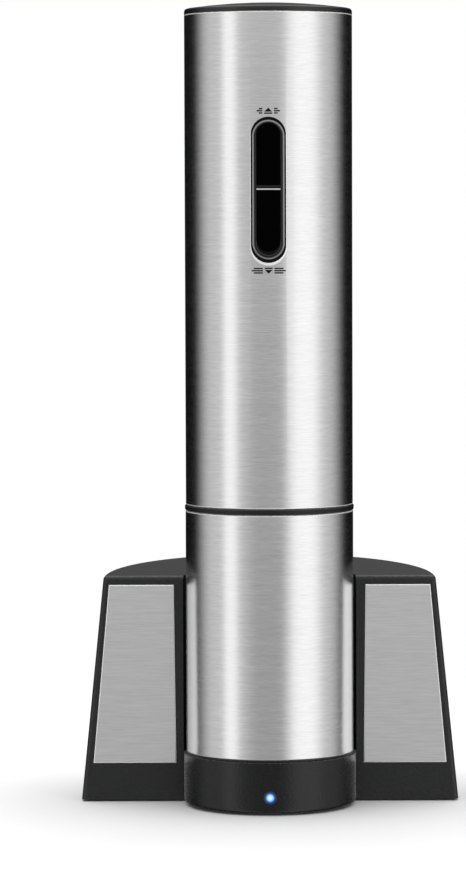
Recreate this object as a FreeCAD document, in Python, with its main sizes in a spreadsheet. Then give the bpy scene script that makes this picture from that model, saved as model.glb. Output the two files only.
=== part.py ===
"""Cordless electric wine opener standing in its charging base.

Millimetres, +Z up. The origin is on the axis of the opener, at the surface that the base stands on.
The front, with the two buttons and the lamp, faces -Y.
"""

import FreeCAD, Part
import math
import os
import re

import Sketcher

V = FreeCAD.Vector
doc = FreeCAD.newDocument("wine_opener")
sheet = doc.addObject("Spreadsheet::Sheet", "Sizes")
nodes = []  # the finished sub-parts, in the order they are made

# ---------------------------------------------------------------- driving dimensions, in millimetres and degrees

sizes = {
    # charging base
    "overall_height": 254.0,
    "base_width": 120.65,
    "base_taper": 7.3,
    "base_front_height": 72.4,
    "base_crown": 3.0,
    "wing_front": 5.0,
    "foot_lift": 0.6,
    "foot_radius": 5.0,
    "foot_recess": 0.8,
    "ring_foot_width": 5.0,
    "ring_foot_inset": 6.0,
    "base_wall": 2.2,
    "base_round": 1.4,
    "collar_proud": 0.75,
    "collar_height": 16.5,
    "collar_round": 1.6,
    "cup_wall": 1.45,
    "cup_floor": 10.5,
    "cup_floor_wall": 2.0,
    "cradle_gap": 1.5,
    "plate_wall": 2.4,
    "panel_bottom": 12.4,
    "panel_drop": 2.8,
    "panel_gap_top": 2.5,
    "panel_gap_bottom": 1.9,
    "panel_margin_top": 2.0,
    "panel_margin_bottom": 2.65,
    "panel_wall": 0.8,
    "panel_proud": 0.15,
    "panel_bevel": 0.3,
    "boss_radius": 3.2,
    "boss_height": 15.0,
    "boss_gap": 3.14,
    "board_wall": 1.6,
    "board_stand": 0.9,
    "board_width": 24.0,
    "chip_gap": 3.11,
    "lamp_radius": 2.0,
    "jack_height": 9.6,
    "jack_bore": 3.2,
    "jack_pin": 1.05,
    "jack_depth": 9.0,
    # outer tube of the opener
    "tube_radius": 26.5,
    "skirt_step": 0.1,
    "sleeve_wall": 0.6,
    "sleeve_edge": 0.25,
    "skirt_length": 76.7,
    "rim_gap": 0.3,
    "nozzle_flange": 0.5,
    "ring_proud": 0.3,
    "ring_height": 1.8,
    "cap_height": 3.6,
    "cap_rim": 0.9,
    "cap_round": 0.9,
    "cap_plug": 6.0,
    "cap_wall": 1.6,
    # neck guide and cork chamber
    "nozzle_gap": 0.5,
    "bottle_bore": 15.6,
    "bottle_depth": 23.1,
    "lead_in": 2.0,
    "stop_wall": 2.0,
    "stop_radius": 12.8,
    "chamber_radius": 14.6,
    "guide_wall": 2.0,
    "guide_foot": 8.0,
    "guide_head": 3.0,
    "clamp_height": 22.0,
    "clamp_wall": 1.6,
    "fin_height": 1.2,
    # worm and its drive
    "worm_radius": 3.4,
    "worm_wire": 1.4,
    "worm_pitch": 8.5,
    "worm_start": 4.5,
    "chuck_length": 8.0,
    "chuck_radius": 7.0,
    "shaft_radius": 3.0,
    "running_gap": 0.03,
    "gear_module": 0.6,
    "pressure_angle": 25.0,
    "sun_teeth": 12,
    "planet_teeth": 18,
    "gear_width": 6.6,
    "gear_backlash": 0.09,
    "gearbox_wall": 3.6,
    "gearbox_cover": 3.0,
    "carrier_wall": 2.4,
    "planet_pin": 1.5,
    "mount_wall": 2.6,
    "motor_radius": 13.8,
    "motor_length": 38.0,
    "motor_wall": 0.9,
    "motor_shaft": 1.15,
    "armature_radius": 9.8,
    # chassis, battery and controls
    "chassis_gap": 0.3,
    "chassis_wall": 2.0,
    "shelf_wall": 2.0,
    "wiring_space": 8.8,
    "cell_radius": 7.1,
    "cell_length": 48.5,
    "slot_width": 10.95,
    "slot_height": 45.2,
    "bezel_gap": 0.15,
    "bezel_drop": 1.7,
    "bezel_frame": 1.5,
    "bezel_proud": 0.25,
    "button_gap": 0.1,
    "button_split": 0.45,
    "button_proud": 0.3,
    "button_travel": 0.8,
    "button_depth": 5.0,
    "control_board": 13.0,
    "board_way": 14.0,
    # general clearances and fasteners
    "fit_gap": 0.1,
    "loose_gap": 0.2,
    "screw_radius": 1.1,
    "screw_head": 2.3,
    "lead_radius": 0.6,
}

# sizes that follow from the driving ones; a name may use any name above it
derived = {
    "base_half": "base_width / 2",
    "base_slope": "base_taper / (base_front_height - foot_lift)",
    "skirt_radius": "tube_radius + skirt_step",
    "ring_radius": "tube_radius + ring_proud",
    "collar_radius": "skirt_radius + collar_proud",
    "cup_bore": "collar_radius - cup_wall",
    "cup_underside": "cup_floor - cup_floor_wall",
    "cradle_radius": "skirt_radius + cradle_gap",
    "plate_top": "foot_lift + plate_wall",
    "board_bottom": "plate_top + board_stand",
    "board_top": "board_bottom + board_wall",
    "under_radius": "collar_radius - base_wall",
    "lamp_height": "(plate_top + cup_underside) / 2",
    "ring_foot_outer": "under_radius - ring_foot_inset",
    "ring_foot_inner": "ring_foot_outer - ring_foot_width",
    "panel_top": "base_front_height - panel_drop",
    "panel_inner_top": "cradle_radius + panel_gap_top",
    "panel_inner_bottom": "cradle_radius + panel_gap_bottom",
    "panel_outer_top": "base_half - base_slope * (panel_top - foot_lift) - panel_margin_top",
    "panel_outer_bottom": "base_half - base_slope * (panel_bottom - foot_lift) - panel_margin_bottom",
    "jack_rear": "wing_front + base_half - base_slope * (jack_height - foot_lift) - loose_gap",
    "jack_front": "jack_rear - 17",
    "boss_reach": "base_half - boss_radius - 3.5",
    "boss_inner": "board_width / 2 + boss_radius + boss_gap",
    "boss_back": "sqrt(boss_reach * boss_reach - boss_inner * boss_inner)",
    "sleeve_bore": "tube_radius - sleeve_wall",
    "skirt_bore": "skirt_radius - sleeve_wall",
    "nozzle_bottom": "cup_floor + loose_gap * 2",
    "nozzle_radius": "cup_bore - nozzle_gap",
    "inner_contact": "nozzle_radius - 5.6",
    "outer_contact": "nozzle_radius - 2.2",
    "skirt_bottom": "collar_height + rim_gap + nozzle_flange",
    "seam_bottom": "skirt_bottom + skirt_length",
    "seam_top": "seam_bottom + ring_height",
    "sleeve_top": "overall_height - cap_height",
    "bottle_stop": "nozzle_bottom + bottle_depth",
    "chamber_floor": "bottle_stop + stop_wall",
    "guide_radius": "skirt_bore - fit_gap",
    "guide_shell": "chamber_radius + guide_wall",
    "guide_top": "seam_bottom",
    "clamp_radius": "chamber_radius - loose_gap * 2",
    "clamp_bottom": "chamber_floor + fit_gap",
    "clamp_top": "clamp_bottom + clamp_height",
    "chuck_bottom": "guide_top - chuck_length",
    "worm_tip": "chamber_floor + worm_start",
    "worm_outer": "worm_radius + worm_wire",
    "bush_radius": "shaft_radius + 2",
    "gear_orbit": "(sun_teeth + planet_teeth) * gear_module / 2",
    "gearbox_radius": "(sun_teeth + 2 * planet_teeth) * gear_module / 2 + gearbox_wall",
    "carrier_radius": "gear_orbit + planet_pin + 1.9",
    "ear_reach": "gearbox_radius - 1.5",
    "cover_top": "guide_top + gearbox_cover",
    "carrier_bottom": "cover_top + 2",
    "second_gear_bottom": "carrier_bottom + carrier_wall + loose_gap",
    "second_gear_top": "second_gear_bottom + gear_width",
    "first_carrier_bottom": "second_gear_top + loose_gap * 2",
    "first_gear_bottom": "first_carrier_bottom + carrier_wall + loose_gap",
    "first_gear_top": "first_gear_bottom + gear_width",
    "gearbox_top": "first_gear_top + loose_gap * 3",
    "motor_bottom": "gearbox_top + mount_wall",
    "motor_top": "motor_bottom + motor_length",
    "chassis_radius": "sleeve_bore - chassis_gap",
    "chassis_bore": "chassis_radius - chassis_wall",
    "chassis_top": "sleeve_top - cap_plug - loose_gap",
    "shelf_bottom": "motor_top + wiring_space",
    "cell_bottom": "shelf_bottom + shelf_wall + 1",
    "slot_middle": "cell_bottom + cell_length / 2",
    "slot_end": "slot_width / 2",
    "slot_straight": "slot_height - slot_width",
    "bezel_width": "slot_width - bezel_gap * 2",
    "bezel_straight": "slot_straight - bezel_drop - bezel_gap * 2",
    "bezel_middle": "slot_middle + bezel_drop / 2",
    "button_width": "bezel_width - bezel_frame * 2 - button_gap * 2",
    "button_back": "tube_radius - button_depth",
}


def formula(text):
    """Returns text with its derived names expanded and its cell names pointed at the sheet."""

    def swap(match):
        word = match.group(0)
        if word in derived:
            return "(" + formula(derived[word]) + ")"
        return "Sizes." + word if word in sizes else word

    return re.sub(r"[a-z_]+[a-z_0-9]*", swap, str(text))


def value(text):
    """The number that a formula comes to."""
    return float(sheet.evalExpression(formula(text)))


def fill_sheet():
    for row, (alias, number) in enumerate(sizes.items(), start=1):
        sheet.set(f"A{row}", alias)
        sheet.set(f"B{row}", str(number))
        sheet.setAlias(f"B{row}", alias)
    doc.recompute()


# ---------------------------------------------------------------- building blocks

turns = {
    "up": FreeCAD.Rotation(),
    "front": FreeCAD.Rotation(V(1, 0, 0), 90),
    "back": FreeCAD.Rotation(V(1, 0, 0), -90),
    "down": FreeCAD.Rotation(V(1, 0, 0), 180),
    "right": FreeCAD.Rotation(V(0, 1, 0), 90),
    "left": FreeCAD.Rotation(V(0, 1, 0), -90),
}


def put(obj, x="0", y="0", z="0", facing="up"):
    """Binds an object's place to formulas, and turns its own Z to the way it faces."""
    obj.Placement = FreeCAD.Placement(V(0, 0, 0), turns[facing])
    for axis, text in zip("xyz", (x, y, z)):
        obj.setExpression("Placement.Base." + axis, formula(text))
    return obj


def rod(name, radius, length, x="0", y="0", z="0", facing="up"):
    obj = doc.addObject("Part::Cylinder", name)
    obj.setExpression("Radius", formula(radius))
    obj.setExpression("Height", formula(length))
    return put(obj, x, y, z, facing)


def tapered(name, low, high, length, x="0", y="0", z="0", facing="up", angle=360):
    obj = doc.addObject("Part::Cone", name)
    obj.setExpression("Radius1", formula(low))
    obj.setExpression("Radius2", formula(high))
    obj.setExpression("Height", formula(length))
    obj.Angle = angle
    return put(obj, x, y, z, facing)


def block(name, width, depth, height, x="0", y="0", z="0"):
    """A box centred on x and y, standing on z."""
    obj = doc.addObject("Part::Box", name)
    obj.setExpression("Length", formula(width))
    obj.setExpression("Width", formula(depth))
    obj.setExpression("Height", formula(height))
    return put(obj, f"{x} - ({width}) / 2", f"{y} - ({depth}) / 2", z)


def fuse(name, *parts):
    obj = doc.addObject("Part::MultiFuse", name)
    obj.Shapes = list(parts)
    return obj


def common(name, *parts):
    obj = doc.addObject("Part::MultiCommon", name)
    obj.Shapes = list(parts)
    return obj


def cut(name, base, *tools):
    obj = doc.addObject("Part::Cut", name)
    obj.Base = base
    obj.Tool = tools[0] if len(tools) == 1 else fuse(name + "_tools", *tools)
    return obj


def group(name, *parts):
    obj = doc.addObject("Part::Compound", name)
    obj.Links = list(parts)
    return obj


def outline(body, points, role="XZ_Plane", name="outline"):
    """A closed sketch of straight lines whose corners are bound to formulas."""
    sketch = body.newObject("Sketcher::SketchObject", body.Name + "_" + name)
    plane = [f for f in body.Origin.OriginFeatures if f.Role == role][0]
    sketch.AttachmentSupport = [(plane, "")]
    sketch.MapMode = "FlatFace"
    corners = [V(value(a), value(b), 0) for a, b in points]
    count = len(points)
    for i in range(count):
        sketch.addGeometry(Part.LineSegment(corners[i], corners[(i + 1) % count]), False)
    for i in range(count):
        sketch.addConstraint(Sketcher.Constraint("Coincident", i, 2, (i + 1) % count, 1))
    for i, (across, up) in enumerate(points):
        if across == "0":
            sketch.addConstraint(Sketcher.Constraint("PointOnObject", i, 1, -2))
        else:
            datum = Sketcher.Constraint("DistanceX", -1, 1, i, 1, corners[i].x)
            sketch.setExpression(f"Constraints[{sketch.addConstraint(datum)}]", formula(across))
        datum = Sketcher.Constraint("DistanceY", -1, 1, i, 1, corners[i].y)
        sketch.setExpression(f"Constraints[{sketch.addConstraint(datum)}]", formula(up))
    return sketch


def turned(name, points):
    """A body turned about Z from a profile of (radius, height) formulas."""
    body = doc.addObject("PartDesign::Body", name)
    sketch = outline(body, points)
    turn = body.newObject("PartDesign::Revolution", name + "_turn")
    turn.Profile = sketch
    turn.ReferenceAxis = (sketch, ["V_Axis"])
    turn.Angle = 360
    return body


def padded(name, points, length, role="XZ_Plane", reverse=False):
    """A body padded from a flat outline. A pad on XZ_Plane runs towards -Y, or +Y when reversed."""
    body = doc.addObject("PartDesign::Body", name)
    sketch = outline(body, points, role)
    pad = body.newObject("PartDesign::Pad", name + "_pad")
    pad.Profile = sketch
    pad.setExpression("Length", formula(length))
    pad.Reversed = reverse
    return body


def rounded(name, base, radius, chosen):
    """base with the edges that chosen(edge) picks rounded to radius."""
    doc.recompute()
    obj = doc.addObject("Part::Fillet", name)
    obj.Base = base
    size = value(radius)
    picked = [i for i, edge in enumerate(base.Shape.Edges, start=1) if chosen(edge)]
    obj.Edges = [(i, size, size) for i in picked]
    return obj


def node(obj, label=None, solids=1):
    """Marks a finished sub-part: its label names its file."""
    obj.Label = label or obj.Name
    nodes.append((obj, solids))
    return obj


def solid(name, shape, x=0.0, y=0.0, z=0.0):
    """A sub-part whose shape neither bodies nor primitives suit, set at x, y and z."""
    obj = doc.addObject("Part::Feature", name)
    obj.Shape = shape
    obj.Placement = FreeCAD.Placement(V(x, y, z), FreeCAD.Rotation())
    return obj


def slot_prism(name, width, straight, depth, y, z):
    """An upright slot shape, from y towards the front by depth, centred on z."""
    middle = block(name + "_middle", width, depth, straight, "0", f"{y} - ({depth}) / 2", f"{z} - ({straight}) / 2")
    low = rod(name + "_low", f"({width}) / 2", depth, "0", y, f"{z} - ({straight}) / 2", "front")
    high = rod(name + "_high", f"({width}) / 2", depth, "0", y, f"{z} + ({straight}) / 2", "front")
    return fuse(name, middle, low, high)


def screw(name, x, y, z, length, facing="up", radius="screw_radius", head="screw_head"):
    """A pan-head screw whose shank runs from z the way it faces, with a cross recess in its head."""
    shank = rod(name + "_shank", radius, length, x, y, z, facing)
    back = {"up": "down", "down": "up", "back": "front", "front": "back"}[facing]
    cap = tapered(name + "_cap", head, f"({head}) * 0.7", "1.4", x, y, z, back)
    recess = tapered(name + "_recess", f"({head}) * 0.25", f"({head}) * 0.45", "0.7", x, y, z, back)
    shift = {"up": ("z", "-0.75"), "down": ("z", "+0.75"), "back": ("y", "-0.75"), "front": ("y", "+0.75")}[facing]
    at = {"x": x, "y": y, "z": z}
    at[shift[0]] = f"({at[shift[0]]}) {shift[1]}"
    put(recess, at["x"], at["y"], at["z"], back)
    return cut(name, fuse(name + "_blank", shank, cap), recess)


def bent_path(points, share=0.45):
    """A wire of straight runs joined by tangent arcs, each as large as its two runs allow."""
    points = [V(*p) for p in points]
    edges, start = [], points[0]
    for i in range(1, len(points) - 1):
        before, after = points[i] - points[i - 1], points[i + 1] - points[i]
        turn = before.getAngle(after)
        reach = share * min(before.Length, after.Length)
        arc_in = points[i] - before.normalize() * reach
        arc_out = points[i] + after.normalize() * reach
        radius = reach / math.tan(turn / 2)
        inward = (after - before).normalize()
        centre = points[i] + inward * (radius / math.cos(turn / 2))
        middle = centre - inward * radius
        edges.append(Part.LineSegment(start, arc_in).toShape())
        edges.append(Part.Arc(arc_in, middle, arc_out).toShape())
        start = arc_out
    edges.append(Part.LineSegment(start, points[-1]).toShape())
    return Part.Wire(edges)


def lead(points, radius):
    """A round lead along a bent path."""
    path = bent_path(points)
    first = V(*points[1]) - V(*points[0])
    ring = Part.Wire(Part.Circle(V(*points[0]), first, radius).toShape())
    return path.makePipeShell([ring], True, False)


# ---------------------------------------------------------------- gears


def on_circle(radius, angle):
    return V(radius * math.cos(angle), radius * math.sin(angle), 0)


def tooth_outline(teeth, addendum, dedendum, thickening, phase):
    """The closed outline of an involute gear, its flanks as arcs through three involute points."""
    pitch = teeth * value("gear_module") / 2
    pressure = math.radians(value("pressure_angle"))
    base, tip, root = pitch * math.cos(pressure), pitch + addendum, pitch - dedendum
    low = max(base, root)

    def lean(radius):
        """How far round the flank has turned from its base circle at a radius."""
        reach = math.sqrt(max((radius / base) ** 2 - 1, 0))
        return reach - math.atan(reach)

    half = math.pi / (2 * teeth) + thickening / (2 * pitch) + lean(pitch)
    levels = [low, (low + tip) / 2, tip]
    edges = []
    for k in range(teeth):
        middle = phase + 2 * math.pi * k / teeth
        after = middle + 2 * math.pi / teeth
        right = [on_circle(r, middle - half + lean(r)) for r in levels]
        left = [on_circle(r, middle + half - lean(r)) for r in levels]
        foot = middle - half + lean(low)
        foot_left = middle + half - lean(low)
        foot_next = after - half + lean(low)
        if low > root:
            edges.append(Part.LineSegment(on_circle(root, foot), right[0]).toShape())
        edges.append(Part.Arc(*right).toShape())
        edges.append(Part.Arc(right[2], on_circle(tip, middle), left[2]).toShape())
        edges.append(Part.Arc(left[2], left[1], left[0]).toShape())
        if low > root:
            edges.append(Part.LineSegment(left[0], on_circle(root, foot_left)).toShape())
        gap = [foot_left, (foot_left + foot_next) / 2, foot_next]
        edges.append(Part.Arc(*[on_circle(root, a) for a in gap]).toShape())
    return Part.Wire(Part.__sortEdges__(edges))


def spur(teeth, phase, bore, width):
    """A spur gear standing on z = 0 with a round bore."""
    module = value("gear_module")
    wire = tooth_outline(teeth, 0.9 * module, 1.15 * module, -value("gear_backlash"), phase)
    blank = Part.Face(wire).extrude(V(0, 0, width))
    return blank.cut(Part.makeCylinder(bore, width))


def ring(teeth, phase, outer, width):
    """A ring with internal teeth, standing on z = 0."""
    module = value("gear_module")
    wire = tooth_outline(teeth, 1.15 * module, 0.8 * module, value("gear_backlash") / 2, phase)
    hollow = Part.Face(wire).extrude(V(0, 0, width))
    return Part.makeCylinder(outer, width).cut(hollow)


# ---------------------------------------------------------------- charging base


def half_cone(name, inset):
    """The base's tapered half-round body, smaller all round by inset, under its sloping top."""
    height = "base_front_height + 12"
    low = f"base_half - ({inset})"
    high = f"base_half - ({inset}) - base_slope * ({height})"
    body = tapered(name + "_cone", low, high, height, "0", "wing_front", "foot_lift", angle=180)
    lid = doc.addObject("Part::Box", name + "_lid")
    lid.setExpression("Length", formula("base_width"))
    lid.setExpression("Width", formula("base_width"))
    lid.Height = 40
    lid.Placement = FreeCAD.Placement(V(0, 0, 0), FreeCAD.Rotation(V(1, 0, 0), value("base_crown")))
    lid.setExpression("Placement.Base.x", formula("-base_width / 2"))
    lid.setExpression("Placement.Base.y", formula("wing_front"))
    lid.setExpression("Placement.Base.z", formula(f"base_front_height - ({inset})"))
    if inset == "0":
        return cut(name, body, lid)
    return cut(name, body, lid, front_slab(name + "_front", inset))


def front_slab(name, inset):
    """What an inset takes off the flat front."""
    return block(name, "base_width + 2", f"({inset}) * 2", "base_front_height + 20", "0", "wing_front", "-1")


def panel_corners(side, grow="0"):
    """The corners of a trim panel as seen from the front; side is 1 on the right and -1 on the left."""
    return [
        (f"{side} * (panel_inner_bottom - ({grow}))", f"panel_bottom - ({grow})"),
        (f"{side} * (panel_outer_bottom + ({grow}))", f"panel_bottom - ({grow})"),
        (f"{side} * (panel_outer_top + ({grow}))", f"panel_top + ({grow})"),
        (f"{side} * (panel_inner_top - ({grow}))", f"panel_top + ({grow})"),
    ]


def trim_panel(name, side):
    """A brushed steel plate let into a wing, its front edges bevelled."""
    body = padded(name, panel_corners(side), "panel_wall")
    put(body, "0", "wing_front + panel_wall - panel_proud", "0")
    doc.recompute()
    bevel = body.newObject("PartDesign::Chamfer", name + "_bevel")
    pad = body.Group[-2] if body.Group[-1] is bevel else body.Group[-1]
    front = -value("panel_wall")
    edges = [
        f"Edge{i}"
        for i, edge in enumerate(pad.Shape.Edges, start=1)
        if all(abs(v.Point.y - front) < 1e-6 for v in edge.Vertexes)
    ]
    bevel.Base = (pad, edges)
    bevel.setExpression("Size", formula("panel_bevel"))
    return body


boss_places = (
    ("boss_reach * cos(20)", "wing_front + boss_reach * sin(20)"),
    ("boss_inner", "wing_front + boss_back"),
    ("-(boss_inner)", "wing_front + boss_back"),
    ("-(boss_reach * cos(20))", "wing_front + boss_reach * sin(20)"),
)


foot_places = (
    ("base_half - 15", "wing_front + 10"),
    ("-(base_half - 15)", "wing_front + 10"),
    ("base_half * 0.4", "wing_front + base_half * 0.68"),
    ("-base_half * 0.4", "wing_front + base_half * 0.68"),
)


def base_shell():
    def soft_edge(edge):
        low = edge.BoundBox.ZMin < value("foot_lift") + 0.1
        flat = edge.BoundBox.ZLength < 0.1
        return not (low and flat)

    body = rounded("base_body", half_cone("base_blank", "0"), "base_round", soft_edge)
    seat = rod("collar_seat", "collar_radius", "collar_height", z="0")
    wall = rod("cradle_wall", "cradle_radius + base_wall", "base_front_height + 20", z="0")
    hollow = cut("base_hollow", half_cone("hollow_blank", "base_wall"), wall)
    cradle = rod("cradle", "cradle_radius", "base_front_height", z="collar_height")
    channel = board_channel("shell_channel")
    jack = rod("jack_hole", "jack_bore + 1.0", "12", "0", "jack_rear - 6", "jack_height", "back")
    pockets = []
    for side, name in ((1, "right"), (-1, "left")):
        pocket = padded(name + "_pocket", panel_corners(side, "fit_gap"), "panel_wall - panel_proud + 5")
        pockets.append(put(pocket, "0", "wing_front + panel_wall - panel_proud", "0"))
    hollowed = cut("shell_hollowed", body, hollow, cradle, seat, channel)
    bosses = []
    pilots = []
    for i, (x, y) in enumerate(boss_places):
        bosses.append(rod(f"boss_{i}", "boss_radius", "boss_height", x, y, "plate_top"))
        pilots.append(rod(f"pilot_{i}", "screw_radius", "boss_height - 2", x, y, "plate_top"))
    bossed = fuse("shell_bossed", hollowed, *bosses)
    return cut("base_shell", bossed, *pilots, *pockets, jack)


def board_channel(name):
    """The way for the charging board from below the cup into the hollow behind the cradle."""
    return block(name, "board_width + 3", "24", "cup_underside - foot_lift", "0", "cradle_radius", "foot_lift")


def base_collar():
    """The round nose of the base: a shallow cup for the opener, with the lamp's window and the studs' holes."""
    collar = rounded(
        "collar",
        rod("collar_blank", "collar_radius", "collar_height - foot_lift", z="foot_lift"),
        "collar_round",
        lambda edge: len(edge.Vertexes) == 1 and edge.BoundBox.ZMax < value("foot_lift") + 0.1,
    )
    cup = rod("cup", "cup_bore", "collar_height", z="cup_floor")
    under = rod("under_cup", "under_radius", "cup_underside - foot_lift", z="foot_lift")
    lamp = rod("lamp_hole", "lamp_radius + 0.05", "10", "0", "-collar_radius + 8", "lamp_height", "front")
    studs = [rod(f"stud_hole_{i}", "0.75", "6", "0", y, "cup_underside - 2") for i, y in enumerate(stud_places)]
    return cut("base_collar", collar, cup, under, board_channel("collar_channel"), lamp, *studs)


def base_plate():
    """The flat cover under the base, with stands for the board and recesses for the feet."""
    inset = "base_wall + loose_gap"
    half = doc.addObject("Part::Cylinder", "plate_half")
    half.setExpression("Radius", formula(f"base_half - ({inset}) - base_slope * plate_wall"))
    half.setExpression("Height", formula("plate_wall"))
    half.Angle = 180
    put(half, "0", "wing_front", "foot_lift")
    gap = rod("plate_gap", "cradle_radius + base_wall + loose_gap", "9")
    half_cut = cut("plate_half_cut", half, gap, front_slab("plate_front", inset))
    disc = rod("plate_disc", "under_radius - loose_gap", "plate_wall", z="foot_lift")
    bridge = block("plate_bridge", "board_width + 2", "26", "plate_wall", "0", "cradle_radius", "foot_lift")
    stands = [rod(f"stand_{i}", "2.4", "board_stand", x, y, "plate_top") for i, (x, y) in enumerate(stand_places)]
    slab = fuse("plate_slab", half_cut, disc, bridge, *stands)
    holes = [rod(f"stand_hole_{i}", "0.8", "9", x, y, "foot_lift + 0.8") for i, (x, y) in enumerate(stand_places)]
    for i, (x, y) in enumerate(boss_places):
        holes.append(rod(f"plate_hole_{i}", "screw_radius + loose_gap", "9", x, y, "foot_lift - 1"))
        holes.append(rod(f"plate_sink_{i}", "screw_head + loose_gap", "2.4", x, y, "foot_lift - 1"))
    for i, (x, y) in enumerate(foot_places):
        holes.append(rod(f"foot_recess_{i}", "foot_radius + fit_gap", "foot_recess + 2", x, y, "foot_lift - 2"))
    groove = rod("ring_recess_outer", "ring_foot_outer + fit_gap", "foot_recess + 2", z="foot_lift - 2")
    holes.append(cut("ring_recess", groove, rod("ring_recess_core", "ring_foot_inner - fit_gap", "9")))
    return cut("base_plate", slab, *holes)


stud_places = ("inner_contact", "outer_contact")
stand_places = [
    (side + "(board_width / 2 - 4)", y) for side in ("", "-") for y in ("-(tube_radius - 20.5)", "cradle_radius + 5")
]


def base_screws():
    parts = []
    for i, (x, y) in enumerate(boss_places):
        parts.append(screw(f"base_screw_{i}", x, y, "foot_lift + 1.4", "9", "up"))
    return group("base_screws", *parts)


def rubber_feet():
    """A ring under the cup, centred on the opener's axis, and a round pad under each end of the wings."""
    profile = [
        ("ring_foot_inner + 0.4", "0"),
        ("ring_foot_outer - 0.4", "0"),
        ("ring_foot_outer", "0.4"),
        ("ring_foot_outer", "foot_lift + foot_recess"),
        ("ring_foot_inner", "foot_lift + foot_recess"),
        ("ring_foot_inner", "0.4"),
    ]
    parts = [turned("ring_foot", profile)]
    for i, (x, y) in enumerate(foot_places):
        low = tapered(f"foot_low_{i}", "foot_radius - 0.4", "foot_radius", "0.4", x, y, "0")
        high = rod(f"foot_high_{i}", "foot_radius", "foot_lift + foot_recess - 0.4", x, y, "0.4")
        parts.append(fuse(f"foot_{i}", low, high))
    return group("rubber_feet", *parts)


def charge_board():
    """The board that runs from below the cup to the socket, with its taller parts behind the cradle."""
    front, rear = "-(tube_radius - 15)", "jack_rear - 4.7"
    middle, length = f"({front} + {rear}) / 2", f"{rear} - ({front})"
    board = block("board_slab", "board_width", length, "board_wall", "0", middle, "board_bottom")
    chips = [
        block("charge_chip", "6", "5", "1.5", "5", "jack_front - chip_gap - 5", "board_top"),
        block("charge_coil", "6", "6", "2.4", "-4", "jack_front - chip_gap - 4", "board_top"),
        block("charge_diode", "4.4", "2.6", "2.0", "5", "jack_front - chip_gap", "board_top"),
    ]
    holes = [rod(f"board_hole_{i}", "0.9", "5", x, y, "board_bottom - 1") for i, (x, y) in enumerate(stand_places)]
    return cut("charge_board", fuse("board_blank", board, *chips), *holes)


def charge_studs():
    """Two sprung-looking contact studs that stand on the board and reach the opener's contact rings."""
    parts = []
    for i, y in enumerate(stud_places):
        height = "nozzle_bottom - board_top - 0.05"
        stem = rod(f"stud_stem_{i}", "0.65", height, "0", y, "board_top")
        seat = rod(f"stud_seat_{i}", "1.3", "1.2", "0", y, "board_top")
        parts.append(fuse(f"stud_{i}", stem, seat))
    return group("charge_studs", *parts)


def status_led():
    """The blue lamp behind the collar's lens, its two legs lying on the board."""
    back = "-(collar_radius - 7.4)"
    can = rod("led_can", "1.5", "3.2", "0", back, "lamp_height", "front")
    flange = rod("led_flange", "1.8", "0.8", "0", back, "lamp_height", "front")
    legs = []
    for i, x in enumerate(("0.8", "-0.8")):
        reach = "collar_radius - tube_radius + 9.8"
        legs.append(rod(f"led_leg_{i}", "0.25", reach, x, f"{back} + {reach}", "board_top + 0.25", "front"))
    return fuse("status_led", can, flange, *legs)


def led_lens():
    """The clear window in the collar, held by a flange on the inside."""
    inside = "-(under_radius - 0.4)"
    stem = rod("lens_stem", "lamp_radius", "base_wall + 0.45", "0", inside, "lamp_height", "front")
    flange = rod("lens_flange", "lamp_radius + 0.35", "0.6", "0", f"{inside} + 0.5", "lamp_height", "front")
    return fuse("led_lens", stem, flange)


def jack_body():
    """The socket for the adapter's round plug: a moulded block with a nose that shows through the rear wall."""
    case = block("jack_case", "9", "13", "jack_height - board_top + 4.2", "0", "jack_rear - 10.5", "board_top")
    nose = rod("jack_nose", "jack_bore + 0.8", "4.5", "0", "jack_rear - 4.5", "jack_height", "back")
    bore = rod("jack_bore_cut", "jack_bore", "jack_depth + 5", "0", "jack_rear - jack_depth", "jack_height", "back")
    return cut("jack_body", fuse("jack_blank", case, nose), bore)


def jack_pin():
    return rod("jack_pin", "jack_pin", "jack_depth - 0.6", "0", "jack_rear - jack_depth", "jack_height", "back")


# ---------------------------------------------------------------- the opener's outer tube


def skirt_sleeve():
    return turned(
        "skirt_sleeve",
        [
            ("skirt_bore", "skirt_bottom"),
            ("skirt_radius - sleeve_edge", "skirt_bottom"),
            ("skirt_radius", "skirt_bottom + sleeve_edge"),
            ("skirt_radius", "seam_bottom - sleeve_edge"),
            ("skirt_radius - sleeve_edge", "seam_bottom"),
            ("skirt_bore", "seam_bottom"),
        ],
    )


def seam_ring():
    return turned(
        "seam_ring",
        [
            ("sleeve_bore", "seam_bottom"),
            ("ring_radius - 0.35", "seam_bottom"),
            ("ring_radius", "seam_bottom + 0.35"),
            ("ring_radius", "seam_top - 0.35"),
            ("ring_radius - 0.35", "seam_top"),
            ("sleeve_bore", "seam_top"),
        ],
    )


def upper_sleeve():
    tube = turned(
        "sleeve_tube",
        [
            ("sleeve_bore", "seam_top"),
            ("tube_radius - sleeve_edge", "seam_top"),
            ("tube_radius", "seam_top + sleeve_edge"),
            ("tube_radius", "sleeve_top - sleeve_edge"),
            ("tube_radius - sleeve_edge", "sleeve_top"),
            ("sleeve_bore", "sleeve_top"),
        ],
    )
    slot = slot_prism("sleeve_slot", "slot_width", "slot_straight", "tube_radius + 5", "-5", "slot_middle")
    return cut("upper_sleeve", tube, slot)


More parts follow.
